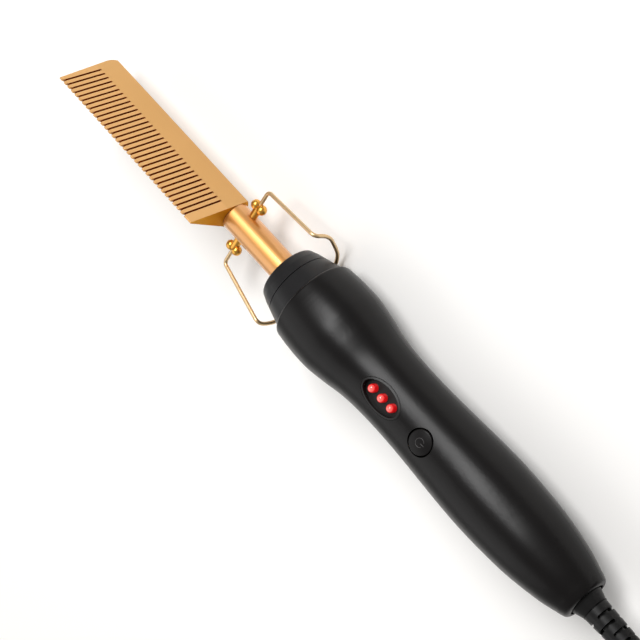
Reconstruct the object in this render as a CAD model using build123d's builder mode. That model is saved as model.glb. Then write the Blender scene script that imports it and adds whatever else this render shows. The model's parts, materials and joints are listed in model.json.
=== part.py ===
"""Electric hot comb: slotted metal comb on a barrel, bulb handle, hinged wire stand, swivelling mains cord.

Millimetres. Stations (x) run along the tool's axis from the stand's pivot towards the cord, +Y is the right
side and +Z the side of the teeth. What the handle holds is drawn upright, then saved turned to the right by
handle_turn, as the lamps and the button stand. The part's origin lies on the surface it rests on, under its
middle.
"""
import os
from math import acos, cos, dist, hypot, pi, radians, sin, sqrt, tan

from build123d import *

os.makedirs("parts", exist_ok=True)

# Comb head
slot_count = 33
slot_pitch = 2.48
slot_width = 0.85
first_land = 4.7          # from the comb's base to the middle of the slot nearest it
tip_land = 2.1            # beyond the last slot, at the tooth tips
nose_lean = 2.04          # how far the nose leans out between tooth tips and back
nose_round = 7.5
tooth_top = 26.15         # height of the tooth tips above the axis
slot_floor = 7.4
mouth_depth = 1.2         # the slots open out towards the tooth tips over this depth
mouth_flare = 0.25
tip_half = 0.3            # half the blade's thickness at the tooth tips
blade_slope = 0.2292      # growth of the half thickness for each mm down from the tips
side_floor = -3.0         # where the flat sides end and the crowned back begins
back_floor = -6.0
blade_edge = 0.5
tip_edge = 0.2
comb_base = -7.3          # station of the comb's base, where the barrel starts

# Barrel and what it holds
barrel_r = 6.0
barrel_wall = 0.9
barrel_end = 52.0
spigot_length = 5.4
seat_gap = 0.05           # clearance of parts that sit in each other
rod_r = 3.0
rod_bore_gap = 0.1
rod_tail = -10.0
rod_length = 75.5
wire_r = 0.7
wire_bend = 1.5
wire_spread = 2.2         # the two heater wires lie this far each side of the axis
fuse_r = 1.4
fuse_start = 20.0
fuse_length = 12.0
sensor_r = 0.9
sensor_lead_r = 0.5
sensor_height = 1.9

# Stand: studs on the barrel and one bent wire
stud_post_r = 1.7
stud_head = 10.73         # distance of the stud heads from the axis
stud_ball_r = 2.1
stud_ball_spread = 1.7
stud_hole_r = 1.1
swage_r = 1.5
stand_r = 0.8
stand_clearance = 0.06    # running clearance of the wire's ends in the studs
stand_end = 8.4
leg_out = 18.9            # where each leg leaves the pivot line
shoulder_x = 29.4
shoulder_y = 23.2
shoulder_z = 4.65
hoop_lean = 0.2
hoop_side = (23.9, -2.6)
hoop_corner = (12.9, -15.1)
hoop_low = -16.9
leg_bend = 2.0
shoulder_bend = 2.5
hoop_side_bend = 11.0
hoop_corner_bend = 15.0
hoop_low_bend = 45.0

# Collar and neck ring, front to back
collar_front = 26.2
collar_front_r = 12.4
collar_mid_r = 13.8
collar_rear_r = 14.8
collar_length = 7.2
collar_bore_gap = 0.4
collar_spigot_r = 11.4
collar_spigot_length = 5.0
joint_line = 0.2          # open line between collar and neck ring
neck_front_r = 14.9
neck_rear_r = 17.0
neck_spigot_r = 12.8
neck_lip_r = 14.2
lip_length = 1.4
spacer_r = 9.9
spacer_length = 11.6
flange_r = 9.5
flange_start = 48.0
flange_length = 2.0

# Handle shells
handle_front = 41.4
handle_front_r = 17.0
front_round = 1.5
bulb_x = 54.5
bulb_r = 19.2
waist_x = 97.0
waist_r = 15.03
swell_x = 145.0
swell_r = 16.7
handle_end = 196.0
tail_r = 10.0
tail_round = 2.0
tail_slope = 20.0         # degrees
wall = 2.0
front_wall = 2.2
rib = 1.7
cord_opening_r = 7.6

# Screws through the handle
screw_r = 1.25
screw_head_r = 2.3
screw_head_length = 1.8
boss_r = 3.6
front_screw_x = 57.0
front_screw_y = 10.0
rear_screw_x = 169.6
head_seat = 7.0           # below the split plane
screw_depth = 7.0         # above the split plane

# Circuit board and what is on it
board_start = 66.0
board_clearance = 6.0     # from the board's end to the rear screw boss
board_width = 22.0
board_top = 4.0
board_thickness = 1.6
board_screw_inset = 4.0
board_screw_y = 8.8
board_screw_r = 1.1
board_post_r = 2.4
terminal_length = 8.0
terminal_half = 6.2
terminal_height = 6.0
terminal_wire_height = 3.0
chip_length = 8.0
triac_length = 9.0
triac_lead = 3.0
capacitor_length = 8.0
part_gap = 1.5            # between neighbours on the board

handle_turn = 10.0        # degrees

# Indicator lamps
lamp_count = 3
lamp_middle = 93.4
lamp_pitch = 5.25
lamp_r = 1.7
lamp_top = 15.9
lamp_gap = 0.1
bezel_length = 19.4
bezel_width = 11.4
bezel_floor = 12.6
bezel_plate = 1.0
bezel_wall = 0.7
bezel_gap = 0.1

# Button and switch
button_x = 116.1
button_r = 4.95
button_hole_r = 5.5
button_top = 15.7
button_crown = 0.5
button_edge = 0.4
button_flange_r = 6.2
button_flange_top = 11.4
button_flange_length = 1.0
button_travel = 0.5
stem_r = 1.8
switch_size = 6.0
switch_height = 3.5
plunger_r = 1.7
plunger_top = 8.2
plunger_depth = 1.6

# Swivel at the cord end
bearing_r = 8.0
bearing_start = 184.8
bearing_length = 5.2
shaft_r = 5.0
shaft_front = 174.2
ring_seat_r = 4.0
shoulder_r = 7.0
shoulder_length = 3.0
boot_r = 6.7
boot_gap = 0.3
boot_neck_r = 5.2
boot_end = 200.3
ring_r = 5.2
ring_length = 2.0
ring_starts = (175.0, 178.4)
brush_gap = 0.2
brush_thickness = 0.4
brush_top = 3.0
holder_start = 173.8
holder_length = 7.2
holder_half = 7.0
holder_top = -6.0
holder_height = 2.6

# Strain relief: slotted sleeve over the cord
relief_length = 43.7
relief_end_r = 3.4
relief_core_r = 2.9
slot_rings = 10
first_ring = 3.85
ring_pitch = 4.1
relief_slot = 1.3
relief_slot_arc = 126.0   # degrees, before the round ends
relief_turn = 4.0         # degrees, how far the swivel stands turned

# Cord
cord_r = 2.5
cord_fit = 0.05
coil_x = 332.0
coil_y = 10.0
coil_outer = 33.6
coil_step = 2.8
coil_turn_steps = 4
coil_layers = 4
coil_layer_height = 5.6
climb_step = 0.8
tie_thickness = 0.6
tie_width = 6.0
tie_gap = 0.1
tie_round = 2.0

# Plug
plug_y = 30.0
plug_front = 224.0
plug_length = 35.0
plug_width = 35.3
plug_height = 13.7
plug_nose_r = 4.2
pin_r = 2.0
pin_length = 19.0
pin_spread = 9.3
pin_root = 6.0
pin_root_r = 1.6

# The part's frame
blade_height = tooth_top - back_floor
nose_tip = comb_base - first_land - (slot_count - 1) * slot_pitch - tip_land - nose_lean
nose_edge = hypot(nose_lean, blade_height)
nose_front = nose_tip + nose_round * (nose_lean + nose_edge - blade_height) / blade_height
relief_end = boot_end + relief_length
pivot_x = -(nose_front + relief_end) / 2
axis_z = bulb_r


def at(x, y=0.0, z=0.0):
    """The point at station x, y to the side and z above the tool's axis."""
    return (pivot_x + x, y, axis_z + z)


def cross(x):
    """The plane square to the tool's axis at station x; its own x is +Y and its own y is +Z."""
    return Plane(origin=at(x), x_dir=(0, 1, 0), z_dir=(1, 0, 0))


def level(z):
    """The level plane at height z above the tool's axis."""
    return Plane(origin=at(0, 0, z), x_dir=(1, 0, 0), z_dir=(0, 0, 1))


side = Plane(origin=at(0), x_dir=(1, 0, 0), z_dir=(0, -1, 0))
tool_axis = Axis(at(0), (1, 0, 0))


def ring(start, end, outer_r, inner_r=0.0, mode=Mode.ADD):
    """A rod, or a ring where inner_r is given, about the tool's axis."""
    with BuildSketch(cross(start)) as face:
        Circle(outer_r)
        if inner_r:
            Circle(inner_r, mode=Mode.SUBTRACT)
    extrude(face.sketch, amount=end - start, mode=mode)


def turned(*points, mode=Mode.ADD):
    """A body turned about the tool's axis from (station, radius) corners."""
    with BuildSketch(side) as face:
        with BuildLine():
            Polyline(*points, close=True)
        make_face()
    revolve(face.sketch, axis=tool_axis, mode=mode)


def post(x, y, r, bottom, top, mode=Mode.ADD):
    """An upright round post or hole."""
    with BuildSketch(level(bottom)) as face:
        with Locations((x, y)):
            Circle(r)
    extrude(face.sketch, amount=top - bottom, mode=mode)


def block(x0, x1, y0, y1, bottom, top, mode=Mode.ADD):
    """An upright rectangular block or pocket."""
    with BuildSketch(level(bottom)) as face:
        with Locations(((x0 + x1) / 2, (y0 + y1) / 2)):
            Rectangle(x1 - x0, y1 - y0)
    extrude(face.sketch, amount=top - bottom, mode=mode)


def lead(points, r, bend):
    """A round wire along straight runs joined by bends."""
    with BuildLine() as route:
        FilletPolyline(*points, radius=bend)
    with BuildSketch(Plane(origin=points[0], z_dir=route.line % 0)) as face:
        Circle(r)
    sweep(face.sketch, path=route.line)


def save(builder, name, turn=0.0):
    """Label a finished piece and write it, turned that far to the right about the tool's axis."""
    piece = builder.part.rotate(tool_axis, -turn) if turn else builder.part
    piece.label = name
    export_step(piece, f"parts/{name}.step")


# Comb head: one solid blade with a crowned back, a nose that leans out and slots open at the tooth edge
back_half = tip_half + blade_slope * (tooth_top - side_floor)
nose_top = nose_tip + nose_lean
rod_bore_r = rod_r + rod_bore_gap
spigot_r = barrel_r - barrel_wall - seat_gap
rod_front = rod_tail - rod_length
mouth_start = tooth_top - slot_floor - mouth_depth
mouth_half = slot_width / 2 + 2 * mouth_flare
slot_mouth = [
    (-slot_width / 2, mouth_start),
    (slot_width / 2, mouth_start),
    (mouth_half, mouth_start + 2 * mouth_depth),
    (-mouth_half, mouth_start + 2 * mouth_depth),
]

with BuildPart() as comb_head:
    with BuildSketch(side) as blade_side:
        with BuildLine():
            Polyline(
                (comb_base, back_floor),
                (nose_tip, back_floor),
                (nose_top, tooth_top),
                (comb_base, tooth_top),
                close=True,
            )
        make_face()
        fillet(blade_side.vertices().group_by(Axis.X)[0], nose_round)
    extrude(amount=back_half * 2, both=True)
    with BuildSketch(cross(nose_tip)) as blade_section:
        with BuildLine():
            Line((-tip_half, tooth_top), (tip_half, tooth_top))
            Line((tip_half, tooth_top), (back_half, side_floor))
            ThreePointArc((back_half, side_floor), (0, back_floor), (-back_half, side_floor))
            Line((-back_half, side_floor), (-tip_half, tooth_top))
        make_face()
        fillet(blade_section.vertices().sort_by(Axis.Y)[:2], blade_edge)
        fillet(blade_section.vertices().sort_by(Axis.Y)[-2:], tip_edge)
    extrude(amount=comb_base - nose_tip, mode=Mode.INTERSECT)
    with BuildSketch(side) as slots:
        with Locations((comb_base - first_land, slot_floor)):
            with Locations([(-i * slot_pitch, 0) for i in range(slot_count)]):
                Circle(slot_width / 2)
                Rectangle(slot_width, tooth_top, align=(Align.CENTER, Align.MIN))
                Polygon(*slot_mouth, align=None)
    extrude(amount=back_half * 2, both=True, mode=Mode.SUBTRACT)
    ring(comb_base, comb_base + spigot_length, spigot_r)
    ring(rod_front - rod_bore_gap, comb_base + spigot_length, rod_bore_r, mode=Mode.SUBTRACT)
save(comb_head, "comb_head")

# Barrel: thin tube with a hole each side for the stand's studs
barrel_bore_r = barrel_r - barrel_wall
with BuildPart() as barrel_tube:
    ring(comb_base, barrel_end, barrel_r, barrel_bore_r)
    with BuildSketch(side) as stud_hole:
        Circle(stud_hole_r + seat_gap)
    extrude(stud_hole.sketch, amount=barrel_r * 2, both=True, mode=Mode.SUBTRACT)
save(barrel_tube, "barrel_tube")

with BuildPart() as heater_rod:
    ring(rod_front, rod_tail, rod_r)
    chamfer(heater_rod.edges().group_by(Axis.X)[0], rod_r / 6)
save(heater_rod, "heater_rod", handle_turn)

# Heater wires run down the barrel, rise to the terminal block, and one is broken by the thermal fuse
heater_block_start = board_start + 2.0
terminal_wire_z = board_top + terminal_wire_height
wire_rise = barrel_end + 4.0


def heater_route(start, y, z):
    """From a station in the barrel to the front of the heater terminal."""
    rise_end = at(board_start, y, terminal_wire_z)
    return [at(start, y, z), at(wire_rise, y, z), rise_end, at(heater_block_start, y, terminal_wire_z)]


fuse_end = fuse_start + fuse_length
with BuildPart() as heater_wires:
    lead(heater_route(rod_tail, -wire_spread, 0), wire_r, wire_bend)
    lead(heater_route(fuse_end, wire_spread, 0), wire_r, wire_bend)
    with BuildSketch(Plane(origin=at(rod_tail, wire_spread), z_dir=(1, 0, 0))) as front_wire:
        Circle(wire_r)
    extrude(front_wire.sketch, amount=fuse_start - rod_tail)
save(heater_wires, "heater_wires", handle_turn)

with BuildPart() as thermal_fuse:
    with BuildSketch(Plane(origin=at(fuse_start, wire_spread), z_dir=(1, 0, 0))) as fuse_face:
        Circle(fuse_r)
    extrude(amount=fuse_length)
    chamfer(thermal_fuse.edges().group_by(Axis.X)[-1], wire_r / 2)
save(thermal_fuse, "thermal_fuse", handle_turn)

with BuildPart() as temperature_sensor:
    lead(heater_route(rod_tail + sensor_r, 0, sensor_height), sensor_lead_r, wire_bend)
    with Locations(at(rod_tail + sensor_r + seat_gap, 0, sensor_height)):
        Sphere(sensor_r)
save(temperature_sensor, "temperature_sensor", handle_turn)

# Stand studs: a post with a swaged end in the barrel and a two-ball head that holds the wire's end
stud_bore_r = stand_r + stand_clearance
swage_face = sqrt(barrel_bore_r**2 - swage_r**2) - seat_gap
stud_line = Plane(origin=at(0), x_dir=(1, 0, 0), z_dir=(0, 1, 0))
with BuildPart() as stand_stud_right:
    for r, start, end in (
        (swage_r, swage_face - 0.6, swage_face),
        (stud_hole_r, swage_face, barrel_r),
        (stud_post_r, barrel_r + seat_gap / 2, stud_head),
    ):
        with BuildSketch(stud_line.offset(start)) as stud_face:
            Circle(r)
        extrude(stud_face.sketch, amount=end - start)
    with BuildSketch(stud_line.offset(barrel_r)) as stud_shank:
        Circle(stud_hole_r)
    extrude(stud_shank.sketch, amount=seat_gap)
    for spread in (-stud_ball_spread, stud_ball_spread):
        with Locations(at(spread, stud_head, 0)):
            Sphere(stud_ball_r)
    with BuildSketch(stud_line.offset(stand_end - stand_clearance)) as wire_hole:
        Circle(stud_bore_r)
    extrude(wire_hole.sketch, amount=stud_head, mode=Mode.SUBTRACT)
save(stand_stud_right, "stand_stud_right")

with BuildPart() as stand_stud_left:
    mirror(stand_stud_right.part, about=Plane.XZ)
save(stand_stud_left, "stand_stud_left")


# Stand wire: straight ends in the studs, two legs, and a hoop that lies round the neck
def hoop_point(y, z):
    """A point of the hoop, whose plane leans along the axis."""
    return at(shoulder_x - hoop_lean * (z - shoulder_z), y, z)


half_stand = [
    at(0, stand_end, 0),
    at(0, leg_out, 0),
    at(shoulder_x, shoulder_y, shoulder_z),
    hoop_point(*hoop_side),
    hoop_point(*hoop_corner),
]
other_half = [(x, -y, z) for x, y, z in reversed(half_stand)]
half_bends = [leg_bend, shoulder_bend, hoop_side_bend, hoop_corner_bend]
with BuildPart() as stand_wire:
    stand_bends = half_bends + [hoop_low_bend] + half_bends[::-1]
    lead(half_stand + [hoop_point(0, hoop_low)] + other_half, stand_r, stand_bends)
save(stand_wire, "stand_wire")

# Front collar: dark plastic cone round the barrel, with a spigot that enters the neck ring
collar_rear = collar_front + collar_length
collar_bore_r = barrel_r + collar_bore_gap
spacer_start = collar_rear + joint_line
with BuildPart() as front_collar:
    turned(
        (collar_front, collar_bore_r),
        (collar_front, collar_front_r),
        (collar_front + collar_length / 2, collar_mid_r),
        (collar_rear, collar_rear_r),
        (collar_rear, collar_spigot_r),
        (collar_rear + collar_spigot_length, collar_spigot_r),
        (collar_rear + collar_spigot_length, spacer_r + seat_gap),
        (collar_rear, spacer_r + seat_gap),
        (collar_rear, collar_bore_r),
    )
    fillet(front_collar.edges().group_by(Axis.X)[0].sort_by(SortBy.RADIUS)[-1], collar_length / 6)
save(front_collar, "front_collar")

# Neck ring: sleeve over the collar's spigot, held in the shells by its lip
neck_front = collar_rear + joint_line
neck_rear = handle_front - joint_line / 2
neck_bore_r = collar_spigot_r + seat_gap
lip_start = handle_front + front_wall + seat_gap
with BuildPart() as neck_ring:
    turned(
        (neck_front, neck_bore_r),
        (neck_front, neck_front_r),
        (neck_rear, neck_rear_r),
        (neck_rear, neck_spigot_r),
        (lip_start, neck_spigot_r),
        (lip_start, neck_lip_r),
        (lip_start + lip_length, neck_lip_r),
        (lip_start + lip_length, neck_bore_r),
    )
    chamfer(neck_ring.edges().group_by(Axis.X)[0].sort_by(SortBy.RADIUS)[-1], joint_line)
save(neck_ring, "neck_ring")

with BuildPart() as heat_spacer:
    ring(spacer_start, spacer_start + spacer_length, spacer_r, barrel_r + seat_gap)
save(heat_spacer, "heat_spacer")

# Barrel flange: steel disc pressed on the barrel's end and held between the shells' ribs
flange_end = flange_start + flange_length
with BuildPart() as barrel_flange:
    ring(flange_start, flange_end, flange_r, barrel_r + seat_gap)
save(barrel_flange, "barrel_flange")


# Handle outline: a bulb that falls to a waist, a gentle swell and a rounded tail
def between(x0, r0, x1, r1, *fractions):
    """Points from (x0, r0) to (x1, r1), each a share of the way along and a share of the fall."""
    return [(x0 + f * (x1 - x0), r0 + g * (r1 - r0)) for f, g in fractions]


tail_face_r = tail_r - tail_round * cos(radians(tail_slope))
tail_x = handle_end - tail_round * (1 - sin(radians(tail_slope)))
outline = [(handle_front + front_round, bulb_r - 0.7), (bulb_x, bulb_r)]
bulb_fall = [(0.15, 0.055), (0.27, 0.24), (0.37, 0.41), (0.48, 0.645), (0.6, 0.82), (0.81, 0.965)]
outline += between(bulb_x, bulb_r, waist_x, waist_r, *bulb_fall)
outline += [(waist_x, waist_r)]
outline += between(waist_x, waist_r, swell_x, swell_r, (0.37, 0.29), (0.69, 0.76))
outline += [(swell_x, swell_r)]
tail_fall = [(0.31, 0.08), (0.46, 0.164), (0.62, 0.325), (0.785, 0.55), (0.865, 0.694), (0.945, 0.872)]
outline += between(swell_x, swell_r, tail_x, tail_r, *tail_fall)
outline += [(tail_x, tail_r)]
seat_start = bearing_start - seat_gap
seat_end = bearing_start + bearing_length + seat_gap
hollow_start = handle_front + front_wall
hollow_line = [(x, r - wall) for x, r in outline if hollow_start < x < seat_start]
opening_r = neck_spigot_r + seat_gap

with BuildPart() as handle_form:
    with BuildSketch(side) as form_profile:
        with BuildLine():
            Line((handle_front, 0), (handle_front, handle_front_r))
            ThreePointArc(
                (handle_front, handle_front_r),
                (handle_front + front_round * 0.3, outline[0][1] - front_round * 0.3),
                outline[0],
            )
            Spline(*outline[:2], tangents=[(1, 0.12), (1, 0)])
            Spline(*outline[1:], tangents=[(1, 0), (cos(radians(tail_slope)), -sin(radians(tail_slope)))])
            CenterArc((handle_end - tail_round, tail_face_r), tail_round, 90 - tail_slope, tail_slope - 90)
            Line((handle_end, tail_face_r), (handle_end, 0))
            Line((handle_end, 0), (handle_front, 0))
        make_face()
    revolve(axis=tool_axis)

with BuildPart() as handle_hollow:
    with BuildSketch(side) as hollow_profile:
        with BuildLine():
            Line((hollow_start, 0), (hollow_start, hollow_line[0][1]))
            Line((hollow_start, hollow_line[0][1]), hollow_line[0])
            Spline(*hollow_line)
            Line(hollow_line[-1], (seat_start, hollow_line[-1][1] - wall / 2))
            Line((seat_start, hollow_line[-1][1] - wall / 2), (seat_start, 0))
            Line((seat_start, 0), (hollow_start, 0))
        make_face()
    revolve(axis=tool_axis)
    ring(seat_start, seat_end, bearing_r + seat_gap)
    ring(handle_front, hollow_start, opening_r)
    ring(seat_end, handle_end, cord_opening_r)

front_screws = [(front_screw_x, y) for y in (-front_screw_y, front_screw_y)]
screws = front_screws + [(rear_screw_x, 0)]
flange_rib_r = flange_r - rib / 2


def shell_ribs():
    """Ring ribs each side of the barrel flange, trimmed later to one half."""
    for start in (flange_start - seat_gap - rib, flange_end + seat_gap):
        ring(start, start + rib, bulb_r, flange_rib_r)


# Upper shell: ribs and screw bosses, the button's hole and the bezel's oval opening
with BuildPart() as upper_shell:
    shell_ribs()
    for x, y in screws:
        post(x, y, boss_r, 0, bulb_r)
    add(handle_form.part, mode=Mode.INTERSECT)
    add(handle_form.part - handle_hollow.part)
    split(bisect_by=level(0), keep=Keep.TOP)
    for x, y in screws:
        post(x, y, screw_r + seat_gap, 0, screw_depth + 1, mode=Mode.SUBTRACT)
    post(button_x, 0, button_hole_r, 0, bulb_r, mode=Mode.SUBTRACT)
    with BuildSketch(level(0)) as bezel_opening:
        with Locations((lamp_middle, 0)):
            Ellipse(bezel_length / 2 + bezel_gap, bezel_width / 2 + bezel_gap)
    extrude(bezel_opening.sketch, amount=bulb_r, mode=Mode.SUBTRACT)
save(upper_shell, "upper_shell", handle_turn)

# Lower shell: the same ribs, screw bosses with counterbores, board posts and the brush holder's rails
board_bottom = board_top - board_thickness
board_end = rear_screw_x - boss_r - board_clearance
board_screw_x = (board_start + board_screw_inset, board_end - board_screw_inset)
board_screws_at = [(x, y) for x in board_screw_x for y in (-board_screw_y, board_screw_y)]
holder_bottom = holder_top - holder_height
holder_end = holder_start + holder_length
with BuildPart() as lower_shell:
    shell_ribs()
    for x, y in screws:
        post(x, y, boss_r, -bulb_r, 0)
    for x, y in board_screws_at:
        post(x, y, board_post_r, -bulb_r, 0)
    for y in (-holder_half + rib, holder_half - rib):
        block(holder_start, holder_end, y - rib, y + rib, -bulb_r, holder_bottom)
    add(handle_form.part, mode=Mode.INTERSECT)
    add(handle_form.part - handle_hollow.part)
    split(bisect_by=level(0), keep=Keep.BOTTOM)
    for x, y in board_screws_at:
        post(x, y, board_post_r, -rib, board_bottom)
        post(x, y, board_screw_r + seat_gap, board_bottom - 6, board_bottom, mode=Mode.SUBTRACT)
    for x, y in screws:
        post(x, y, screw_r + 0.15, -head_seat, 0, mode=Mode.SUBTRACT)
        post(x, y, screw_head_r + 0.2, -bulb_r, -head_seat, mode=Mode.SUBTRACT)
save(lower_shell, "lower_shell", handle_turn)

# Handle screws: pan heads deep in the lower bosses, with a cross recess
with BuildPart() as handle_screws:
    for x, y in screws:
        post(x, y, screw_r, -head_seat, screw_depth)
        post(x, y, screw_head_r, -head_seat - screw_head_length, -head_seat)
        for turn in (0, 90):
            with BuildSketch(level(-head_seat - screw_head_length)) as recess:
                with Locations(Location((x, y), turn)):
                    Rectangle(screw_head_r * 1.2, screw_r / 3)
            extrude(recess.sketch, amount=screw_head_length / 2, mode=Mode.SUBTRACT)
save(handle_screws, "handle_screws", handle_turn)

# Circuit board on the lower shell's posts
with BuildPart() as circuit_board:
    half_board = board_width / 2
    block(board_start, board_end, -half_board, half_board, board_bottom, board_top)
    for x, y in board_screws_at:
        post(x, y, board_screw_r + 0.1, board_bottom, board_top, mode=Mode.SUBTRACT)
save(circuit_board, "circuit_board", handle_turn)

with BuildPart() as board_screws:
    for x, y in board_screws_at:
        post(x, y, board_screw_r, board_bottom - 5, board_top)
        post(x, y, board_screw_r * 1.8, board_top, board_top + board_screw_r * 1.2)
save(board_screws, "board_screws", handle_turn)

# Terminal blocks: three clamp screws on the heater side, two on the mains side
mains_block_start = board_end - 2 - terminal_length
terminal_top = board_top + terminal_height
terminals = (("heater_terminal", heater_block_start, 3), ("mains_terminal", mains_block_start, 2))
for name, start, poles in terminals:
    with BuildPart() as terminal:
        block(start, start + terminal_length, -terminal_half, terminal_half, board_top, terminal_top)
        with BuildSketch(level(terminal_top)) as clamp_wells:
            with Locations((start + terminal_length / 2, 0)):
                with GridLocations(1, 2 * terminal_half / poles, 1, poles):
                    Circle(screw_r)
        extrude(clamp_wells.sketch, amount=-terminal_height / 4, mode=Mode.SUBTRACT)
    save(terminal, name, handle_turn)

chip_end = button_x - switch_size / 2 - 2 * part_gap
chip_start = chip_end - chip_length
with BuildPart() as control_chip:
    block(chip_start, chip_end, -3, 3, board_top + 0.2, board_top + 1.4)
    for leg in range(4):
        leg_x = chip_start + (leg + 0.5) * chip_length / 4
        block(leg_x - 0.25, leg_x + 0.25, -4.2, 4.2, board_top, board_top + 0.5)
save(control_chip, "control_chip", handle_turn)

capacitor_end = mains_block_start - part_gap
capacitor_start = capacitor_end - capacitor_length
with BuildPart() as capacitor:
    block(capacitor_start, capacitor_end, -6, 6, board_top, board_top + 7)
    fillet(capacitor.edges().group_by(Axis.Z)[-1], 0.8)
save(capacitor, "capacitor", handle_turn)

tab_end = capacitor_start - part_gap
triac_end = tab_end - 4
triac_start = triac_end - triac_length
with BuildPart() as triac:
    block(triac_start, triac_end, -5, 5, board_top + 1.2, board_top + 4.6)
    block(triac_start, tab_end, -5, 5, board_top, board_top + 1.2)
    for y in (-2.5, 0, 2.5):
        block(triac_start - triac_lead, triac_start, y - 0.4, y + 0.4, board_top, board_top + 1.8)
save(triac, "triac", handle_turn)

# Indicator lamps stand on the board and reach through the bezel's holes
lamp_shoulder = lamp_top - lamp_r
for number in range(lamp_count):
    lamp_x = lamp_middle + (number - (lamp_count - 1) / 2) * lamp_pitch
    with BuildPart() as lamp:
        post(lamp_x, 0, lamp_r, bezel_floor - bezel_plate - 3, lamp_shoulder)
        with Locations(at(lamp_x, 0, lamp_shoulder)):
            Sphere(lamp_r)
        post(lamp_x, 0, lamp_r + 0.3, bezel_floor - bezel_plate - 3, bezel_floor - bezel_plate - 2)
        for y in (-lamp_r / 2, lamp_r / 2):
            post(lamp_x, y, 0.25, board_top, bezel_floor - bezel_plate - 3)
    save(lamp, f"indicator_lamp_{number + 1}", handle_turn)

# Indicator bezel: an oval dish whose rim follows the handle's surface just below it
with BuildPart() as indicator_bezel:
    with BuildSketch(level(bezel_floor - bezel_plate)) as bezel_outer:
        with Locations((lamp_middle, 0)):
            Ellipse(bezel_length / 2, bezel_width / 2)
    extrude(bezel_outer.sketch, amount=bulb_r - bezel_floor)
    with BuildSketch(level(bezel_floor)) as bezel_dish:
        with Locations((lamp_middle, 0)):
            Ellipse(bezel_length / 2 - bezel_wall, bezel_width / 2 - bezel_wall)
    extrude(bezel_dish.sketch, amount=bulb_r, mode=Mode.SUBTRACT)
    add(handle_form.part, mode=Mode.INTERSECT)
    with BuildSketch(level(bezel_floor - bezel_plate)) as lamp_holes:
        with Locations((lamp_middle, 0)):
            with GridLocations(lamp_pitch, 1, lamp_count, 1):
                Circle(lamp_r + lamp_gap)
    extrude(lamp_holes.sketch, amount=bezel_plate, mode=Mode.SUBTRACT)
save(indicator_bezel, "indicator_bezel", handle_turn)

# Power button: crowned cap, a flange under the shell and a stem on the switch's plunger
button_flange_bottom = button_flange_top - button_flange_length
crown_r = (button_r**2 + button_crown**2) / (2 * button_crown)
with BuildPart() as power_button:
    post(button_x, 0, button_r, button_flange_bottom, button_top)
    with Locations(at(button_x, 0, button_top - crown_r)):
        Sphere(crown_r, mode=Mode.INTERSECT)
    cap_side = power_button.faces().filter_by(GeomType.CYLINDER).edges()
    fillet(cap_side.group_by(Axis.Z)[-1], button_edge)
    post(button_x, 0, button_flange_r, button_flange_bottom, button_flange_top)
    post(button_x, 0, stem_r, plunger_top, button_flange_bottom)
save(power_button, "power_button", handle_turn)

switch_top = board_top + switch_height
with BuildPart() as tact_switch:
    half = switch_size / 2
    block(button_x - half, button_x + half, -half, half, board_top, switch_top)
    well_floor = switch_top - plunger_depth - 2 * button_travel
    post(button_x, 0, plunger_r + 0.1, well_floor, switch_top, mode=Mode.SUBTRACT)
save(tact_switch, "tact_switch", handle_turn)

with BuildPart() as switch_plunger:
    post(button_x, 0, plunger_r, switch_top - plunger_depth, plunger_top)
save(switch_plunger, "switch_plunger", handle_turn)

# Swivel: a plastic boot that turns in a bearing held by the shells
with BuildPart() as swivel_bearing:
    ring(bearing_start, bearing_start + bearing_length, bearing_r, shaft_r + seat_gap)
save(swivel_bearing, "swivel_bearing")

cord_bore_r = cord_r + cord_fit
shoulder_end = bearing_start - boot_gap
shoulder_start = shoulder_end - shoulder_length
boot_start = bearing_start + bearing_length + boot_gap
with BuildPart() as swivel_boot:
    turned(
        (shaft_front, cord_bore_r),
        (shaft_front, ring_seat_r),
        (shoulder_start, ring_seat_r),
        (shoulder_start, shoulder_r),
        (shoulder_end, shoulder_r),
        (shoulder_end, shaft_r),
        (boot_start, shaft_r),
        (boot_start, boot_r),
        (handle_end, boot_r),
        (boot_end, boot_neck_r),
        (boot_end, cord_bore_r),
    )
save(swivel_boot, "swivel_boot")

with BuildPart() as contact_rings:
    for start in ring_starts:
        ring(start, start + ring_length, ring_r, ring_seat_r + seat_gap)
save(contact_rings, "contact_rings")

# Contact brushes: one upright leaf beside each ring, seated in the holder's slots
brush_face = ring_r + brush_gap
brush_places = [(start, sign) for start, sign in zip(ring_starts, (1, -1))]
with BuildPart() as contact_brushes:
    for start, sign in brush_places:
        low_y, high_y = sorted((sign * brush_face, sign * (brush_face + brush_thickness)))
        block(start, start + ring_length, low_y, high_y, holder_bottom + 0.6, brush_top)
save(contact_brushes, "contact_brushes", handle_turn)

with BuildPart() as brush_holder:
    block(holder_start, holder_end, -holder_half, holder_half, holder_bottom, holder_top)
    for start, sign in brush_places:
        brush_sides = (brush_face - seat_gap, brush_face + brush_thickness + seat_gap)
        slot_sides = sorted(sign * y for y in brush_sides)
        slot_ends = (start - seat_gap, start + ring_length + seat_gap)
        block(*slot_ends, *slot_sides, holder_bottom + 0.5, holder_top, mode=Mode.SUBTRACT)
save(brush_holder, "brush_holder", handle_turn)

# Mains wires: from the brush holder, past the rear boss, up to the mains terminal
mains_y = 4.8
mains_z = (holder_top + holder_bottom) / 2
mains_block_end = mains_block_start + terminal_length
with BuildPart() as mains_wires:
    for y in (-mains_y, mains_y):
        lead(
            [
                at(holder_start, y, mains_z),
                at(rear_screw_x - 2, y, mains_z),
                at(rear_screw_x - 6, y, terminal_wire_z),
                at(mains_block_end, y, terminal_wire_z),
            ],
            wire_r,
            wire_bend,
        )
save(mains_wires, "mains_wires", handle_turn)

# Cord core: the end of the cord inside the boot and the strain relief, which turns with them
with BuildPart() as cord_core:
    ring(shaft_front, relief_end, cord_r)
save(cord_core, "cord_core")

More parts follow.
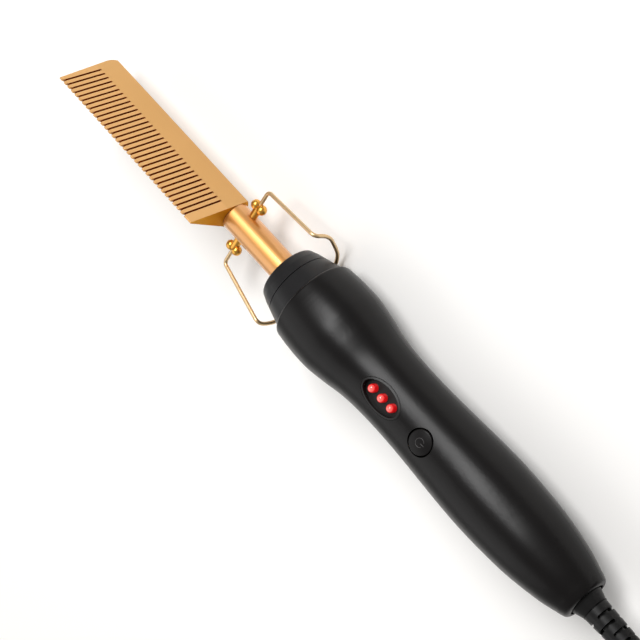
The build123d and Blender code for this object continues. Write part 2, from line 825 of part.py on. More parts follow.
# Strain relief: tapering sleeve, each ring of two slots turned a quarter from the last
with BuildPart() as strain_relief:
    turned(
        (boot_end, cord_bore_r),
        (boot_end, boot_neck_r),
        (relief_end, relief_end_r),
        (relief_end, cord_bore_r),
    )
    for number in range(slot_rings):
        slot_x = boot_end + first_ring + number * ring_pitch
        for middle in (relief_turn + 90 * (number % 2), relief_turn + 90 * (number % 2) + 180):
            slot_from, slot_to = middle - relief_slot_arc / 2, middle + relief_slot_arc / 2
            with BuildSketch(cross(slot_x - relief_slot / 2)) as slot_face:
                with BuildLine():
                    inner = CenterArc((0, 0), relief_core_r, slot_from, relief_slot_arc)
                    outer = CenterArc((0, 0), boot_neck_r + 1, slot_from, relief_slot_arc)
                    Line(inner @ 0, outer @ 0)
                    Line(inner @ 1, outer @ 1)
                make_face()
            extrude(slot_face.sketch, amount=relief_slot, mode=Mode.SUBTRACT)
            for turn in (slot_from, slot_to):
                outward = (0, cos(radians(turn)), sin(radians(turn)))
                with BuildSketch(Plane(origin=at(slot_x), z_dir=outward).offset(relief_core_r)) as slot_end:
                    Circle(relief_slot / 2)
                extrude(slot_end.sketch, amount=boot_neck_r, mode=Mode.SUBTRACT)
save(strain_relief, "strain_relief")

# Cord: it leaves the strain relief level, drops to the surface and enters the coil along the axis
coil_floor = tie_thickness + tie_gap + cord_r - axis_z
turn_rs = [coil_outer - coil_step * i for i in range(coil_turn_steps + 1)]
turn_rs[0] += climb_step
turn_rs[-1] -= climb_step
coil_rs = []
coil_zs = []
for layer in range(coil_layers):
    coil_rs += turn_rs[:: 1 if layer % 2 == 0 else -1]
    coil_zs += [coil_floor + layer * coil_layer_height] * len(turn_rs)
coil_y_in = coil_y - coil_rs[0]
coil_y_out = coil_y + coil_rs[-1]
coil_edge = coil_x - 2 * cord_r


def corner_bends(points):
    """Bend radii as large as the runs beside each corner allow."""
    bends = []
    for before, here, after in zip(points, points[1:], points[2:]):
        run_in = [b - a for a, b in zip(before, here)]
        run_out = [b - a for a, b in zip(here, after)]
        dot = sum(a * b for a, b in zip(run_in, run_out))
        turn = acos(dot / (dist(before, here) * dist(here, after)))
        bends.append(0.45 * min(dist(before, here), dist(here, after)) / tan(turn / 2))
    return bends


lead_route = [
    at(relief_end, 0, 0),
    at(264, 0, 0),
    at(286, -10, -9.6),
    at(306, coil_y_in, coil_floor),
    at(coil_edge, coil_y_in, coil_floor),
]
lead_bends = corner_bends(lead_route)
with BuildPart() as cord_lead:
    lead(lead_route, cord_r, lead_bends)
save(cord_lead, "cord_lead")

# Coil: half turns wind in and out again, climbing a layer in the half turn where they reverse
coil_joints = [at(coil_x, coil_y + (r if i % 2 else -r), z) for i, (r, z) in enumerate(zip(coil_rs, coil_zs))]
coil_points = []
with BuildPart() as cord_coil:
    with BuildLine() as coil_route:
        Line(at(coil_edge, coil_y_in, coil_zs[0]), coil_joints[0])
        for i, (start, end) in enumerate(zip(coil_joints, coil_joints[1:])):
            middle = [(a + b) / 2 for a, b in zip(start, end)]
            reach = dist(start, end) / 2 * (-1 if i % 2 else 1)
            ThreePointArc(start, (middle[0] + reach, middle[1], middle[2]), end)
            for step in range(60):
                swing = radians(3 * step)
                along = [m + (a - m) * cos(swing) for m, a in zip(middle, start)]
                coil_points.append((along[0] + reach * sin(swing), along[1], along[2]))
        Line(coil_joints[-1], at(coil_edge, coil_y_out, coil_zs[-1]))
    with BuildSketch(Plane(origin=at(coil_edge, coil_y_in, coil_zs[0]), z_dir=(1, 0, 0))) as coil_face:
        Circle(cord_r)
    sweep(coil_face.sketch, path=coil_route.line)
save(cord_coil, "cord_coil")

# Tie: a band round the coil's bundle on the side away from the handle
bundle_in = (coil_rs[coil_turn_steps] + cord_r) - 2 * cord_r - tie_gap
bundle_out = (coil_rs[0] + coil_rs[1]) / 2 + cord_r + tie_gap
bundle_low = coil_zs[0] - cord_r - tie_gap
bundle_high = coil_zs[-1] + cord_r + tie_gap
tie_plane = Plane(origin=at(0, coil_y - tie_width / 2, 0), x_dir=(1, 0, 0), z_dir=(0, -1, 0))
tie_middle = (coil_x + (bundle_in + bundle_out) / 2, (bundle_low + bundle_high) / 2)
tie_inside = (bundle_out - bundle_in, bundle_high - bundle_low)
with BuildPart() as coil_tie:
    with BuildSketch(tie_plane) as tie_face:
        with Locations(tie_middle):
            RectangleRounded(tie_inside[0] + 2 * tie_thickness, tie_inside[1] + 2 * tie_thickness, tie_round)
            RectangleRounded(*tie_inside, tie_round - tie_thickness, mode=Mode.SUBTRACT)
    extrude(amount=-tie_width)
save(coil_tie, "cord_tie")

# Plug lead: from the top of the coil down to the plug, which lies beside the strain relief
plug_z = plug_height / 2 - axis_z
plug_rear = plug_front + plug_length
plug_route = [
    at(coil_edge, coil_y_out, coil_zs[-1]),
    at(307, coil_y_out, coil_zs[-1]),
    at(277.5, plug_y, plug_z),
    at(plug_rear, plug_y, plug_z),
]
plug_bends = corner_bends(plug_route)
with BuildPart() as plug_lead:
    lead(plug_route, cord_r, plug_bends)
save(plug_lead, "plug_lead")

# Plug: a flat moulding that narrows to a round nose, with two round pins
with BuildPart() as plug_body:
    for offset, width, height, corner in (
        (0, plug_width, plug_height, 3),
        (plug_length * 0.3, plug_width, plug_height, 3),
        (plug_length * 0.75, plug_width * 0.5, plug_height * 0.85, 4),
        (plug_length, plug_nose_r * 2, plug_nose_r * 2, plug_nose_r * 0.96),
    ):
        with BuildSketch(cross(plug_front + offset)):
            with Locations((plug_y, plug_z)):
                RectangleRounded(width, height, corner)
    loft(ruled=True)
    for y in (-pin_spread, pin_spread):
        with BuildSketch(cross(plug_front)) as pin_seat:
            with Locations((plug_y + y, plug_z)):
                Circle(pin_root_r + seat_gap)
        extrude(pin_seat.sketch, amount=pin_root + seat_gap, mode=Mode.SUBTRACT)
save(plug_body, "plug_body")

with BuildPart() as plug_pins:
    for y in (-pin_spread, pin_spread):
        for r, start, end in (
            (pin_root_r, plug_front, plug_front + pin_root),
            (pin_r, plug_front - pin_length, plug_front),
        ):
            with BuildSketch(cross(start)) as pin_face:
                with Locations((plug_y + y, plug_z)):
                    Circle(r)
            extrude(pin_face.sketch, amount=end - start)
    fillet(plug_pins.edges().group_by(Axis.X)[0], pin_r * 0.6)
save(plug_pins, "plug_pins")

# Cord facts: bend radii, coil gap and lengths
coil_gap = min(
    dist(p, q)
    for i, p in enumerate(coil_points)
    for q in coil_points[i + 30 :]
) - 2 * cord_r
print("lead bends", [round(r, 1) for r in lead_bends], "plug lead bends", [round(r, 1) for r in plug_bends])
print("least gap in the coil", round(coil_gap, 2))
for piece in (cord_lead, cord_coil, plug_lead):
    print(piece.part.label, "length from volume", round(piece.part.volume / (pi * cord_r**2), 1))
print("pivot station", round(pivot_x, 2), "axis height", axis_z)
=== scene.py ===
"""Electric hot comb: the finish of every piece, the mains cord, the light and the camera."""

import json
from math import cos, pi, radians, sin, sqrt

import bmesh
import bpy
from mathutils import Matrix, Vector
from mathutils.bvhtree import BVHTree


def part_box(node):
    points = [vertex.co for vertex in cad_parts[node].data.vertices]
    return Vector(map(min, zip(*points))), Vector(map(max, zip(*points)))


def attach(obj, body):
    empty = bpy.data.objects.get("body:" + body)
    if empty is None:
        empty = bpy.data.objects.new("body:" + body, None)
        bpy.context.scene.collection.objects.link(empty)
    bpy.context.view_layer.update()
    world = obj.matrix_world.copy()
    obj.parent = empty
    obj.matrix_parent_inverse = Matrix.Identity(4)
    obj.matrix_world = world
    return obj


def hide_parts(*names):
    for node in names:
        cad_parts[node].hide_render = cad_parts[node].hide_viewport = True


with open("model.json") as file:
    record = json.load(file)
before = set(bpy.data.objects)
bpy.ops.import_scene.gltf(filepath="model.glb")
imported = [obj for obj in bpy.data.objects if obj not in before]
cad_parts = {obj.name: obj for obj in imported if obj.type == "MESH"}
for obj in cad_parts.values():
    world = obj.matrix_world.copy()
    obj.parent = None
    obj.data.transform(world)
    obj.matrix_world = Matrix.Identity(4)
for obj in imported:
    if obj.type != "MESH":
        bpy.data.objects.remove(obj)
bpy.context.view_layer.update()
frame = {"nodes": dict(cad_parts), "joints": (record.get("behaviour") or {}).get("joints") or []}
nodes = frame["nodes"]

# Camera
# The photographer stands well back, above the comb's right side, with a long lens.
# The camera's place is set out from the line that the wire stand swings on.
mm = 0.001
pivot = Vector(next(joint["pos_m"] for joint in frame["joints"] if joint["name"] == "stand_hinge"))
camera_offset = Vector((308.158, 373.534, 558.827)) * mm
ahead = Vector((-0.35929, -0.522115, -0.773503))
right = Vector((0.628873, 0.476938, -0.614043))
focal_length_px = 1886.77
picture_width_px = 640
sensor_width_mm = 36.0
lens = bpy.data.cameras.new("camera")
lens.sensor_width = sensor_width_mm
lens.lens = sensor_width_mm * focal_length_px / picture_width_px
camera = bpy.data.objects.new("camera", lens)
bpy.context.scene.collection.objects.link(camera)
aim = Matrix((right, right.cross(ahead), -ahead)).transposed().to_4x4()
camera.matrix_world = Matrix.Translation(pivot + camera_offset) @ aim
bpy.context.scene.camera = camera


# Table and studio light
# A white table that runs on as a backdrop under a pale sky. A soft box hangs over the comb's right
# side, its long edge across the tool, and a broad weak one lights the left.
class Signal:
    """A shader socket that reads as arithmetic: each operator adds the Math node that it stands for."""

    def __init__(self, finish, socket):
        self.finish = finish
        self.socket = socket

    def maths(self, operation, *values):
        return self.finish.node("ShaderNodeMath", {"operation": operation}, dict(enumerate(values)))

    def __add__(self, other):
        return self.maths("ADD", self, other)

    def __sub__(self, other):
        return self.maths("SUBTRACT", self, other)

    def __rsub__(self, other):
        return self.maths("SUBTRACT", other, self)

    def __mul__(self, other):
        return self.maths("MULTIPLY", self, other)

    def __abs__(self):
        return self.maths("ABSOLUTE", self)

    __radd__ = __add__
    __rmul__ = __mul__

    def step(self, start, end):
        """0 at start, 1 at end and smooth between them."""
        limits = {"Value": self, "From Min": start, "From Max": end}
        return self.finish.node("ShaderNodeMapRange", {"interpolation_type": "SMOOTHSTEP"}, limits)


class Finish:
    """A material or world under construction."""

    def __init__(self, name, world=False):
        self.data = (bpy.data.worlds if world else bpy.data.materials).new(name)
        self.data.use_nodes = True
        self.tree = self.data.node_tree
        self.shader = self.tree.nodes["Background" if world else "Principled BSDF"]

    def node(self, kind, settings=None, inputs=None, output=0):
        """A node of that type, with its settings first and then the values or links of its sockets."""
        made = self.tree.nodes.new(kind)
        for key, value in (settings or {}).items():
            setattr(made, key, value)
        self.feed(made, inputs or {})
        return Signal(self, made.outputs[output])

    def feed(self, node, inputs):
        for key, value in inputs.items():
            if isinstance(value, Signal):
                self.tree.links.new(value.socket, node.inputs[key])
            else:
                node.inputs[key].default_value = value

    def shade(self, **values):
        """Feeds the shader's sockets, named with underscores for spaces."""
        self.feed(self.shader, {key.replace("_", " "): value for key, value in values.items()})
        return self.data

    def parts(self, output="Object"):
        """The x, y and z of the point on the piece, in metres, or of its normal."""
        vector = self.node("ShaderNodeTexCoord", output=output)
        return [self.node("ShaderNodeSeparateXYZ", None, {0: vector}, axis) for axis in range(3)]

    def noise(self, scale, detail=3.0, stretch=(1, 1, 1)):
        point = self.node("ShaderNodeTexCoord", output="Object")
        place = self.node("ShaderNodeVectorMath", {"operation": "MULTIPLY"}, {0: point, 1: stretch})
        return self.node("ShaderNodeTexNoise", None, {"Vector": place, "Scale": scale, "Detail": detail})

    def blend(self, share, first, second):
        """One colour turning into another, through the sockets that the Mix node keeps for colours."""
        factor, colour_a, colour_b, colour_out = 0, 6, 7, 2
        ends = {factor: share, colour_a: first, colour_b: second}
        return self.node("ShaderNodeMix", {"data_type": "RGBA"}, ends, output=colour_out)

    def bump(self, height, depth):
        return self.node("ShaderNodeBump", None, {"Height": height, "Distance": depth})


def rgb(red, green, blue):
    """A shader colour from display values of 0 to 255."""
    linear = [((v / 255 + 0.055) / 1.055) ** 2.4 if v > 10 else v / 255 / 12.92 for v in (red, green, blue)]
    return (*linear, 1.0)


middle = Vector((0, 0, pivot.z))


def soft_box(name, offset, width, length, watts):
    """A rectangular lamp that far from the tool's middle, in metres, and turned to face it."""
    data = bpy.data.lights.new(name, "AREA")
    data.shape = "RECTANGLE"
    data.size = width
    data.size_y = length
    data.energy = watts
    box = bpy.data.objects.new(name, data)
    bpy.context.scene.collection.objects.link(box)
    place = middle + Vector(offset)
    box.location = place
    box.rotation_euler = (middle - place).to_track_quat("-Z", "Y").to_euler()


soft_box("soft_box_main", (-0.22, 0.5, 0.81), width=0.28, length=0.64, watts=8.7)
soft_box("soft_box_left", (-0.35, -0.7, 0.72), width=1.2, length=0.9, watts=4.0)
studio = Finish("studio", world=True)
studio.shade(Color=rgb(255, 254, 252), Strength=0.36)
bpy.context.scene.world = studio.data
bpy.context.scene.view_settings.view_transform = "Standard"

table_mesh = bpy.data.meshes.new("table")
table_form = bmesh.new()
bmesh.ops.create_grid(table_form, x_segments=1, y_segments=1, size=4.0)
table_form.to_mesh(table_mesh)
table_form.free()
table = bpy.data.objects.new("table", table_mesh)
bpy.context.scene.collection.objects.link(table)
table_finish = Finish("table_white")
table_cloud = table_finish.noise(3, detail=2.0)
table_white = table_finish.blend(table_cloud, rgb(246, 244, 242), rgb(250, 249, 247))
table_finish.shade(Base_Color=table_white, Roughness=0.9, Specular_IOR_Level=0.1)
table_mesh.materials.append(table_finish.data)


# Mains cord
# Round black sheathed lead, 5 mm across: straight out of the strain relief, down to the table,
# wound into a neat put-away coil of four layers, and on to the plug beside the tail.
def moulding(name, dark, light, roughness, grain=1800, depth=0.00001, **constants):
    """Moulded plastic or rubber with a faint mottle and a fine skin."""
    finish = Finish(name)
    skin = finish.noise(grain, detail=2.0)
    return finish.shade(
        Base_Color=finish.blend(finish.noise(70), dark, light),
        Roughness=roughness - 0.06 + 0.12 * skin,
        Normal=finish.bump(skin, depth),
        **constants,
    )


def round_line(name, points, radius, facets=3, closed=False):
    """A round line through points, with its radius in mm. More facets make it smoother."""
    curve = bpy.data.curves.new(name, "CURVE")
    curve.dimensions = "3D"
    curve.bevel_depth = radius * mm
    curve.bevel_resolution = facets
    curve.resolution_u = facets
    line = curve.splines.new("NURBS")
    line.points.add(len(points) - 1)
    for spot, point in zip(line.points, points):
        spot.co = (*point, 1.0)
    line.order_u = 3
    line.use_cyclic_u = closed
    line.use_endpoint_u = not closed
    return bpy.data.objects.new(name, curve)


def put(piece, body, material):
    """Link a finished piece, give it its material and let it ride on a body."""
    bpy.context.scene.collection.objects.link(piece)
    piece.data.materials.append(material)
    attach(piece, body)


def dress(material, *names):
    """Give pieces that come from the frame their finish."""
    for name in names:
        for holder in nodes[name].material_slots:
            holder.material = material


def at(x, y=0.0, z=0.0):
    """A point x along the tool from the stand's pivot, y to the side and z above the tool's axis, in mm."""
    return pivot + Vector((x, y, z)) * mm


def station(x):
    """Where that place along the tool lies on the x axis, in metres."""
    return at(x).x


def level(z):
    """Where that height above the tool's axis lies on the z axis, in metres."""
    return at(0, 0, z).z


handle_turn = radians(10)


def in_handle(x, across, up):
    """A point in the turned handle: x along the tool, across the handle and up from the axis, in mm."""
    y = across * cos(handle_turn) + up * sin(handle_turn)
    return at(x, y, up * cos(handle_turn) - across * sin(handle_turn))


def handle_height(finish):
    """Height above the tool's axis in the turned handle, in metres."""
    _, y, z = finish.parts()
    return (z - pivot.z) * cos(handle_turn) + y * sin(handle_turn)


cord_radius = 2.5
coil_x, coil_y = 332.0, 10.0
coil_edge = coil_x - 2 * cord_radius
coil_floor = 3.2 - pivot.z / mm
layer_height = 5.6
turn_radii = [34.4, 30.8, 28.0, 25.2, 21.6]
layers = 4
half_turn_points = 8
coil_radii = []
coil_heights = []
for layer in range(layers):
    coil_radii += turn_radii[:: 1 if layer % 2 == 0 else -1]
    coil_heights += [coil_floor + layer * layer_height] * len(turn_radii)
coil_joints = [
    at(coil_x, coil_y + (radius if i % 2 else -radius), height)
    for i, (radius, height) in enumerate(zip(coil_radii, coil_heights))
]
coil_y_in = coil_y - coil_radii[0]
coil_y_out = coil_y + coil_radii[-1]
plug_y, plug_z = 30.0, 6.85 - pivot.z / mm
relief_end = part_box("strain_relief")[1].x
cord_points = [
    Vector((relief_end, 0, pivot.z)),
    at(264, 0, 0),
    at(286, -10, -9.6),
    at(306, coil_y_in, coil_floor),
    at(coil_edge, coil_y_in, coil_floor),
]
half_step = pi / half_turn_points / 2
for i, (start, end) in enumerate(zip(coil_joints, coil_joints[1:])):
    centre = (start + end) / 2
    reach = Vector(((start - end).length / 2 * (-1 if i % 2 else 1), 0, 0))
    for step in range(half_turn_points):
        swing = (2 * step + 1) * half_step
        cord_points.append(centre + ((start - centre) * cos(swing) + reach * sin(swing)) / cos(half_step))
cord_points += [
    at(coil_edge, coil_y_out, coil_heights[-1]),
    at(307, coil_y_out, coil_heights[-1]),
    at(277.5, plug_y, plug_z),
    at(259, plug_y, plug_z),
]

mains_cord = round_line("mains_cord", cord_points, cord_radius, facets=5)
sheath = moulding("cord_sheath", rgb(24, 24, 25), rgb(34, 33, 34), roughness=0.5, grain=900, depth=0.00003)
put(mains_cord, "handle", sheath)
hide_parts("cord_lead", "cord_coil", "plug_lead")
dress(sheath, "cord_core", "cord_lead", "cord_coil", "plug_lead")

# Coil tie
# A soft band of hook-and-loop tape round the bundle, on the side away from the handle.
# Its short pile shows as fine rows across the band.
tie = Finish("tie_band")
tie_rows = tie.noise(1500, detail=2.0, stretch=(0.25, 1, 1))
dress(
    tie.shade(
        Base_Color=tie.blend(tie_rows, rgb(20, 20, 22), rgb(46, 46, 50)),
        Roughness=0.8 + 0.1 * tie_rows,
        Normal=tie.bump(tie_rows, depth=0.0001),
        Specular_IOR_Level=0.3,
    ),
    "cord_tie",
)

# Plug
# Flat two-pole mains plug: a moulded body and two round nickel-plated pins, each sleeved with plastic
# for the half next to the body.
plug_finish = moulding(
    "plug_moulding", rgb(24, 24, 25), rgb(32, 31, 32), roughness=0.48, grain=1200, depth=0.00002
)
dress(plug_finish, "plug_body")
sleeve_start, sleeve_blend = 213.6, 0.1
pin = Finish("pin_nickel")
pin_x, _, _ = pin.parts()
sleeved = pin_x.step(station(sleeve_start), station(sleeve_start + sleeve_blend))
pin_polish = pin.noise(900, detail=2.0, stretch=(0.1, 1, 1))
nickel = pin.blend(pin_polish, rgb(196, 194, 188), rgb(214, 212, 206))
dress(
    pin.shade(
        Base_Color=pin.blend(sleeved, nickel, rgb(26, 26, 27)),
        Metallic=1 - sleeved,
        Roughness=0.2 + 0.1 * pin_polish + 0.25 * sleeved,
    ),
    "plug_pins",
)

# Comb head
# One milled and blasted aluminium blade, anodised a satin gold. The slot walls carry painted shade, a dark
# brown; the teeth are painted a little paler than the solid back as painted light; and the base face next to
# the barrel is a deeper bronze gold, a painted reflection of the barrel.
slot_floor, first_slot, last_slot, stain_top = 7.4, -11.0, -93.0, 24.6
comb = Finish("comb_gold")
comb_x, _, comb_z = comb.parts()
normal_x, _, _ = comb.parts("Normal")
teeth = comb_z.step(level(slot_floor - 0.6), level(slot_floor + 0.8))
past_last = comb_x.step(station(last_slot - 1), station(last_slot))
among_slots = past_last * comb_x.step(station(first_slot + 1), station(first_slot))
below_tips = comb_z.step(level(stain_top + 0.8), level(stain_top - 0.4))
faces_along = abs(normal_x).step(0.35, 0.7)
slot_wall = faces_along * among_slots * below_tips
# Painted reflection: the base face next to the barrel is painted a deeper bronze gold and made less
# metallic, for the barrel's reflection in it.
faces_barrel = normal_x.step(0.6, 0.8)
base_face = faces_barrel * comb_x.step(station(first_slot + 1), station(first_slot + 2))
back_gold = comb.blend(comb.noise(45, detail=2.0), rgb(203, 158, 100), rgb(210, 164, 106))
# Painted light: the teeth are painted a paler gold than the back, for the light their edges catch.
gold_with_painted_lit_teeth = comb.blend(0.7 * teeth, back_gold, rgb(217, 169, 112))
# Painted shade: the slot walls are coloured dark brown, less metallic and rougher, for the shade in the
# slots.
gold_with_painted_slot_shade = comb.blend(slot_wall, gold_with_painted_lit_teeth, rgb(136, 46, 0))
blast = comb.noise(3500, detail=1.0)
dress(
    comb.shade(
        Base_Color=comb.blend(base_face, gold_with_painted_slot_shade, rgb(214, 150, 30)),
        Metallic=1 - slot_wall - 0.4 * base_face,
        Specular_IOR_Level=0.0,
        Roughness=0.34 + 0.1 * blast + 0.3 * slot_wall,
        Normal=comb.bump(blast, depth=0.000006),
    ),
    "comb_head",
)


# Barrel
# Thin drawn tube, gold plated under clear lacquer and pressed over the comb's spigot. A brown line of
# baked oxide marks the joint with the comb.
def plated(name, dark, light, roughness, lines, stretch=(1, 1, 1)):
    """Bright plate with faint lines of polishing along one way."""
    finish = Finish(name)
    polish = finish.noise(lines, detail=2.0, stretch=stretch)
    colour = finish.blend(polish, dark, light)
    return finish.shade(Base_Color=colour, Metallic=1.0, Roughness=roughness + 0.08 * polish)


barrel = Finish("barrel_gold")
barrel_x, _, _ = barrel.parts()
drawn = barrel.noise(2600, detail=2.0, stretch=(0.03, 1, 1))
oxide_end, oxide_blend = -7.0, 0.2
oxide = barrel_x.step(station(oxide_end), station(oxide_end - oxide_blend))
tube_gold = barrel.blend(drawn, rgb(212, 150, 80), rgb(222, 162, 92))
dress(
    barrel.shade(
        Base_Color=barrel.blend(oxide, tube_gold, rgb(140, 74, 20)),
        Metallic=1 - 0.8 * oxide,
        Roughness=0.42 + 0.06 * drawn + 0.2 * oxide,
        Coat_Weight=1.0,
        Coat_Roughness=0.22,
        Coat_IOR=1.6,
    ),
    "barrel_tube",
)
steel = plated("zinc_plate", rgb(168, 170, 174), rgb(196, 198, 200), roughness=0.32, lines=1400)
dress(steel, "barrel_flange")


# Heater, sensor and their wires
# White alumina rod in the comb's bore with glass-fibre sleeved wires, one broken by a thermal fuse,
# and a bead sensor. A ceramic spacer keeps the heat out of the collar.
def ceramic(name, dark, light):
    finish = Finish(name)
    speckle = finish.noise(1100, detail=4.0)
    return finish.shade(
        Base_Color=finish.blend(speckle.step(0.4, 0.7), dark, light),
        Roughness=0.55 + 0.2 * speckle,
        Normal=finish.bump(speckle, depth=0.00002),
    )


dress(ceramic("alumina", rgb(216, 210, 200), rgb(240, 237, 230)), "heater_rod", "heat_spacer")
sleeving = Finish("glass_sleeve")
braid_lines = {"Scale": 900.0, "Distortion": 0.4}
braid = sleeving.node("ShaderNodeTexWave", {"bands_direction": "DIAGONAL"}, braid_lines, output=1)
dress(
    sleeving.shade(
        Base_Color=sleeving.blend(braid, rgb(188, 184, 170), rgb(230, 227, 216)),
        Roughness=0.7 + 0.15 * braid,
        Normal=sleeving.bump(braid, depth=0.00005),
    ),
    "heater_wires",
    "temperature_sensor",
)
fuse_case = plated(
    "fuse_case", rgb(190, 188, 184), rgb(214, 212, 208), roughness=0.24, lines=1600, stretch=(0.05, 1, 1)
)
dress(fuse_case, "thermal_fuse")

# Stand
# One length of brass wire, bent and pale plated, hinged in two gold studs that are swaged into the
# barrel. Both are bright and slightly drawn along their length.
stand_brass = plated(
    "stand_brass", rgb(208, 176, 132), rgb(226, 197, 154), roughness=0.34, lines=1500, stretch=(1, 0.2, 1)
)
dress(stand_brass, "stand_wire")
stud_gold = plated(
    "stud_gold", rgb(220, 160, 70), rgb(232, 176, 86), roughness=0.28, lines=1200, stretch=(1, 0.2, 1)
)
dress(stud_gold, "stand_stud_right", "stand_stud_left")

# Front collar and neck ring
# Two charcoal mouldings that close the handle round the barrel, a little greyer and duller than
# the shells behind them.
collar_finish = moulding(
    "collar_charcoal", rgb(20, 20, 21), rgb(27, 26, 27), roughness=0.36, Specular_IOR_Level=0.27
)
dress(collar_finish, "front_collar", "neck_ring")

# Circuit board and its parts
# Green solder mask over copper tracks, carried on the lower shell's posts, with a control chip, a triac
# on its tab, a film capacitor and two terminal blocks.
board = Finish("solder_mask")
tracks = board.node("ShaderNodeTexBrick", {"offset": 0.5}, {"Scale": 260.0, "Mortar Size": 0.05}, output=1)
dress(
    board.shade(
        Base_Color=board.blend(tracks, rgb(18, 84, 48), rgb(42, 122, 74)),
        Roughness=0.34 + 0.12 * tracks,
        Normal=board.bump(tracks, depth=0.00003),
    ),
    "circuit_board",
)
board_level = 4.0
tab_blend = 0.05


def tabbed(name, body_colour, tab_height, roughness):
    """A moulded component on tinned metal legs or a tab below tab_height above the board, in mm."""
    finish = Finish(name)
    tab_top = board_level + tab_height
    metal = handle_height(finish).step((tab_top + tab_blend) * mm, (tab_top - tab_blend) * mm)
    skin = finish.noise(1500, detail=2.0)
    return finish.shade(
        Base_Color=finish.blend(metal, finish.blend(skin, rgb(16, 16, 17), body_colour), rgb(186, 186, 188)),
        Metallic=metal,
        Roughness=roughness - 0.2 * metal + 0.1 * skin,
    )


dress(tabbed("chip_black", rgb(30, 30, 31), tab_height=0.5, roughness=0.5), "control_chip")
dress(tabbed("triac_black", rgb(32, 32, 33), tab_height=1.2, roughness=0.52), "triac")
dress(moulding("film_case", rgb(196, 152, 30), rgb(214, 170, 44), roughness=0.4), "capacitor")
terminal_finish = moulding("terminal_grey", rgb(108, 112, 114), rgb(128, 132, 134), roughness=0.45)
dress(terminal_finish, "heater_terminal", "mains_terminal")
dress(steel, "board_screws", "handle_screws")

# Indicator lamps and their bezel
# Three diffused red lamps, lit, with a painted highlight in their glow that makes the domes palest at
# the top. They stand in a matt black dish with a thin raised lip.
lamp_top, dome_depth, lens_depth, lens_blend = 15.9, 1.0, 5.0, 0.4
lamp = Finish("lamp_red")
lamp_height = handle_height(lamp)
dome = lamp_height.step((lamp_top - dome_depth) * mm, lamp_top * mm)
lit = lamp_height.step((lamp_top - lens_depth) * mm, (lamp_top - lens_depth + lens_blend) * mm)
frost = lamp.noise(1500, detail=2.0)
lens_red = lamp.blend(frost, rgb(170, 10, 12), rgb(190, 18, 18))
# The lamps' own red glow, painted paler towards the top of each dome as a painted highlight.
glow_and_painted_highlight = lamp.blend(dome, rgb(186, 6, 14), rgb(255, 128, 118))
dress(
    lamp.shade(
        Base_Color=lamp.blend(lit, rgb(178, 178, 180), lens_red),
        Emission_Color=lamp.blend(lit, rgb(0, 0, 0), glow_and_painted_highlight),
        Emission_Strength=0.8,
        Roughness=0.14 + 0.1 * frost,
        Coat_Weight=1.0,
    ),
    "indicator_lamp_1",
    "indicator_lamp_2",
    "indicator_lamp_3",
)
bezel_finish = moulding(
    "bezel_black", rgb(15, 13, 13), rgb(21, 19, 18), roughness=0.42, Specular_IOR_Level=0.3
)
dress(bezel_finish, "indicator_bezel")

shell_skin = BVHTree.FromObject(nodes["upper_shell"], bpy.context.evaluated_depsgraph_get())
clear_of_shell = 60


def on_shell(x, across):
    """The point of the upper shell's outside over a place in the handle that is given in mm."""
    return shell_skin.ray_cast(in_handle(x, across, clear_of_shell), at(0) - in_handle(0, 0, 1))[0]


def turns(count):
    """That many angles, evenly round."""
    return [radians(360 * i / count) for i in range(count)]


lip_middle, lip_half_length, lip_half_width, lip_radius = 93.4, 9.95, 5.95, 0.1
lip_line = [
    on_shell(lip_middle + lip_half_length * cos(turn), lip_half_width * sin(turn))
    for turn in turns(48)
]
put(round_line("bezel_lip", lip_line, lip_radius, closed=True), "handle", bezel_finish)

# Push button
# A crowned cap in the handle's own plastic over a small snap switch, with a faint raised power mark.
button_station, button_top, crown_radius = 116.1, 15.7, 24.75


def on_crown(radius, turn):
    """The point of the button's crown at that distance from its middle, in mm, and that angle."""
    drop = crown_radius - sqrt(crown_radius**2 - radius**2)
    return in_handle(button_station + radius * cos(turn), radius * sin(turn), button_top - drop)


mark_radius, mark_gap, mark_steps, mark_line_radius = 1.75, 32, 24, 0.11
arc_turns = [radians(mark_gap + (360 - 2 * mark_gap) * i / mark_steps) for i in range(mark_steps + 1)]
arc = [on_crown(mark_radius, turn) for turn in arc_turns]
bar = [on_crown(radius, 0) for radius in (0.5, 1.1, 1.7, 2.2)]
mark_finish = moulding("mark_grey", rgb(56, 54, 54), rgb(68, 65, 65), roughness=0.4)
for name, points in (("power_mark_arc", arc), ("power_mark_bar", bar)):
    put(round_line(name, points, mark_line_radius), "button", mark_finish)
dress(moulding("switch_black", rgb(22, 22, 23), rgb(32, 32, 33), roughness=0.5), "tact_switch")
dress(moulding("plunger_white", rgb(196, 196, 192), rgb(214, 214, 210), roughness=0.45), "switch_plunger")

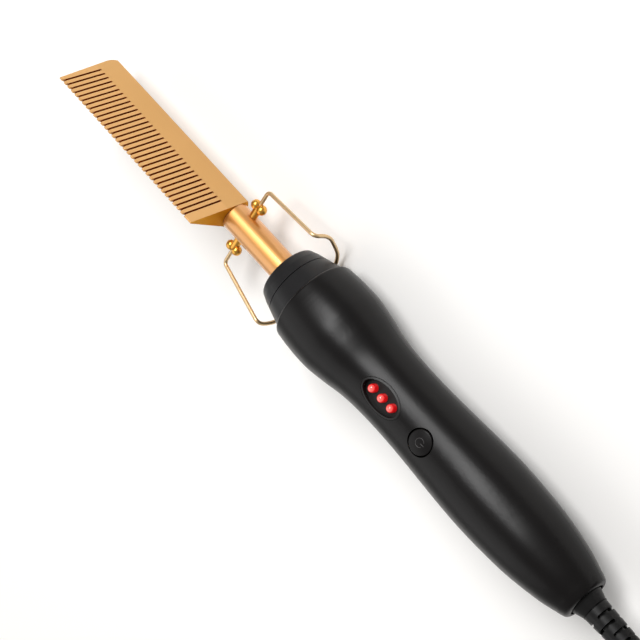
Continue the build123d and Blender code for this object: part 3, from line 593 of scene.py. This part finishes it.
# Handle shells
# Two satin black mouldings held by three screws from below. A hairline shows where they meet,
# halfway up.
hairline, hairline_edge = 0.03, 0.12
shells = Finish("handle_satin")
off_line = abs(handle_height(shells)).step(hairline * mm, hairline_edge * mm)
shell_grain = shells.noise(2600, detail=2.0)
shell_black = shells.blend(shells.noise(60), rgb(11, 9, 9), rgb(15, 13, 13))
dress(
    shells.shade(
        Base_Color=shells.blend(off_line, rgb(4, 4, 4), shell_black),
        Roughness=0.3 + 0.06 * shell_grain,
        Specular_IOR_Level=0.2,
        Normal=shells.bump(off_line * 6 + shell_grain * 0.3, depth=0.00002),
    ),
    "upper_shell",
    "lower_shell",
    "power_button",
)

# Swivel and strain relief
# The boot turns in an acetal bearing and carries two contact rings that run against spring leaves.
# Outside, a soft slotted sleeve keeps the cord from kinking. A dark line parts it from the boot.
dress(moulding("acetal", rgb(214, 214, 210), rgb(230, 230, 226), roughness=0.4), "swivel_bearing")
contact = plated(
    "contact_brass", rgb(206, 164, 88), rgb(222, 182, 106), roughness=0.22, lines=1400, stretch=(1, 1, 0.1)
)
dress(contact, "contact_rings", "contact_brushes")
dress(moulding("holder_black", rgb(20, 20, 21), rgb(30, 30, 31), roughness=0.5), "brush_holder")
mains_pair = Finish("mains_pair")
_, pair_y, _ = mains_pair.parts()
pair_skin = mains_pair.noise(1200, detail=2.0)
dress(
    mains_pair.shade(
        Base_Color=mains_pair.blend(pair_y.step(-0.001, 0.001), rgb(40, 84, 160), rgb(104, 62, 34)),
        Roughness=0.42 + 0.1 * pair_skin,
    ),
    "mains_wires",
)
relief_finish = moulding(
    "relief_rubber",
    rgb(11, 11, 11),
    rgb(16, 15, 15),
    roughness=0.42,
    grain=1400,
    depth=0.00002,
    Specular_IOR_Level=0.24,
)
dress(relief_finish, "swivel_boot", "strain_relief")
parting_x, parting_radius, parting_line_radius = 200.3, 5.18, 0.26
parting = [at(parting_x, parting_radius * cos(turn), parting_radius * sin(turn)) for turn in turns(32)]
parting_finish = moulding(
    "parting_black", rgb(2, 2, 2), rgb(4, 4, 4), roughness=0.36, Specular_IOR_Level=0.1
)
parting_ring = round_line("boot_parting", parting, parting_line_radius, closed=True)
put(parting_ring, "swivel", parting_finish)
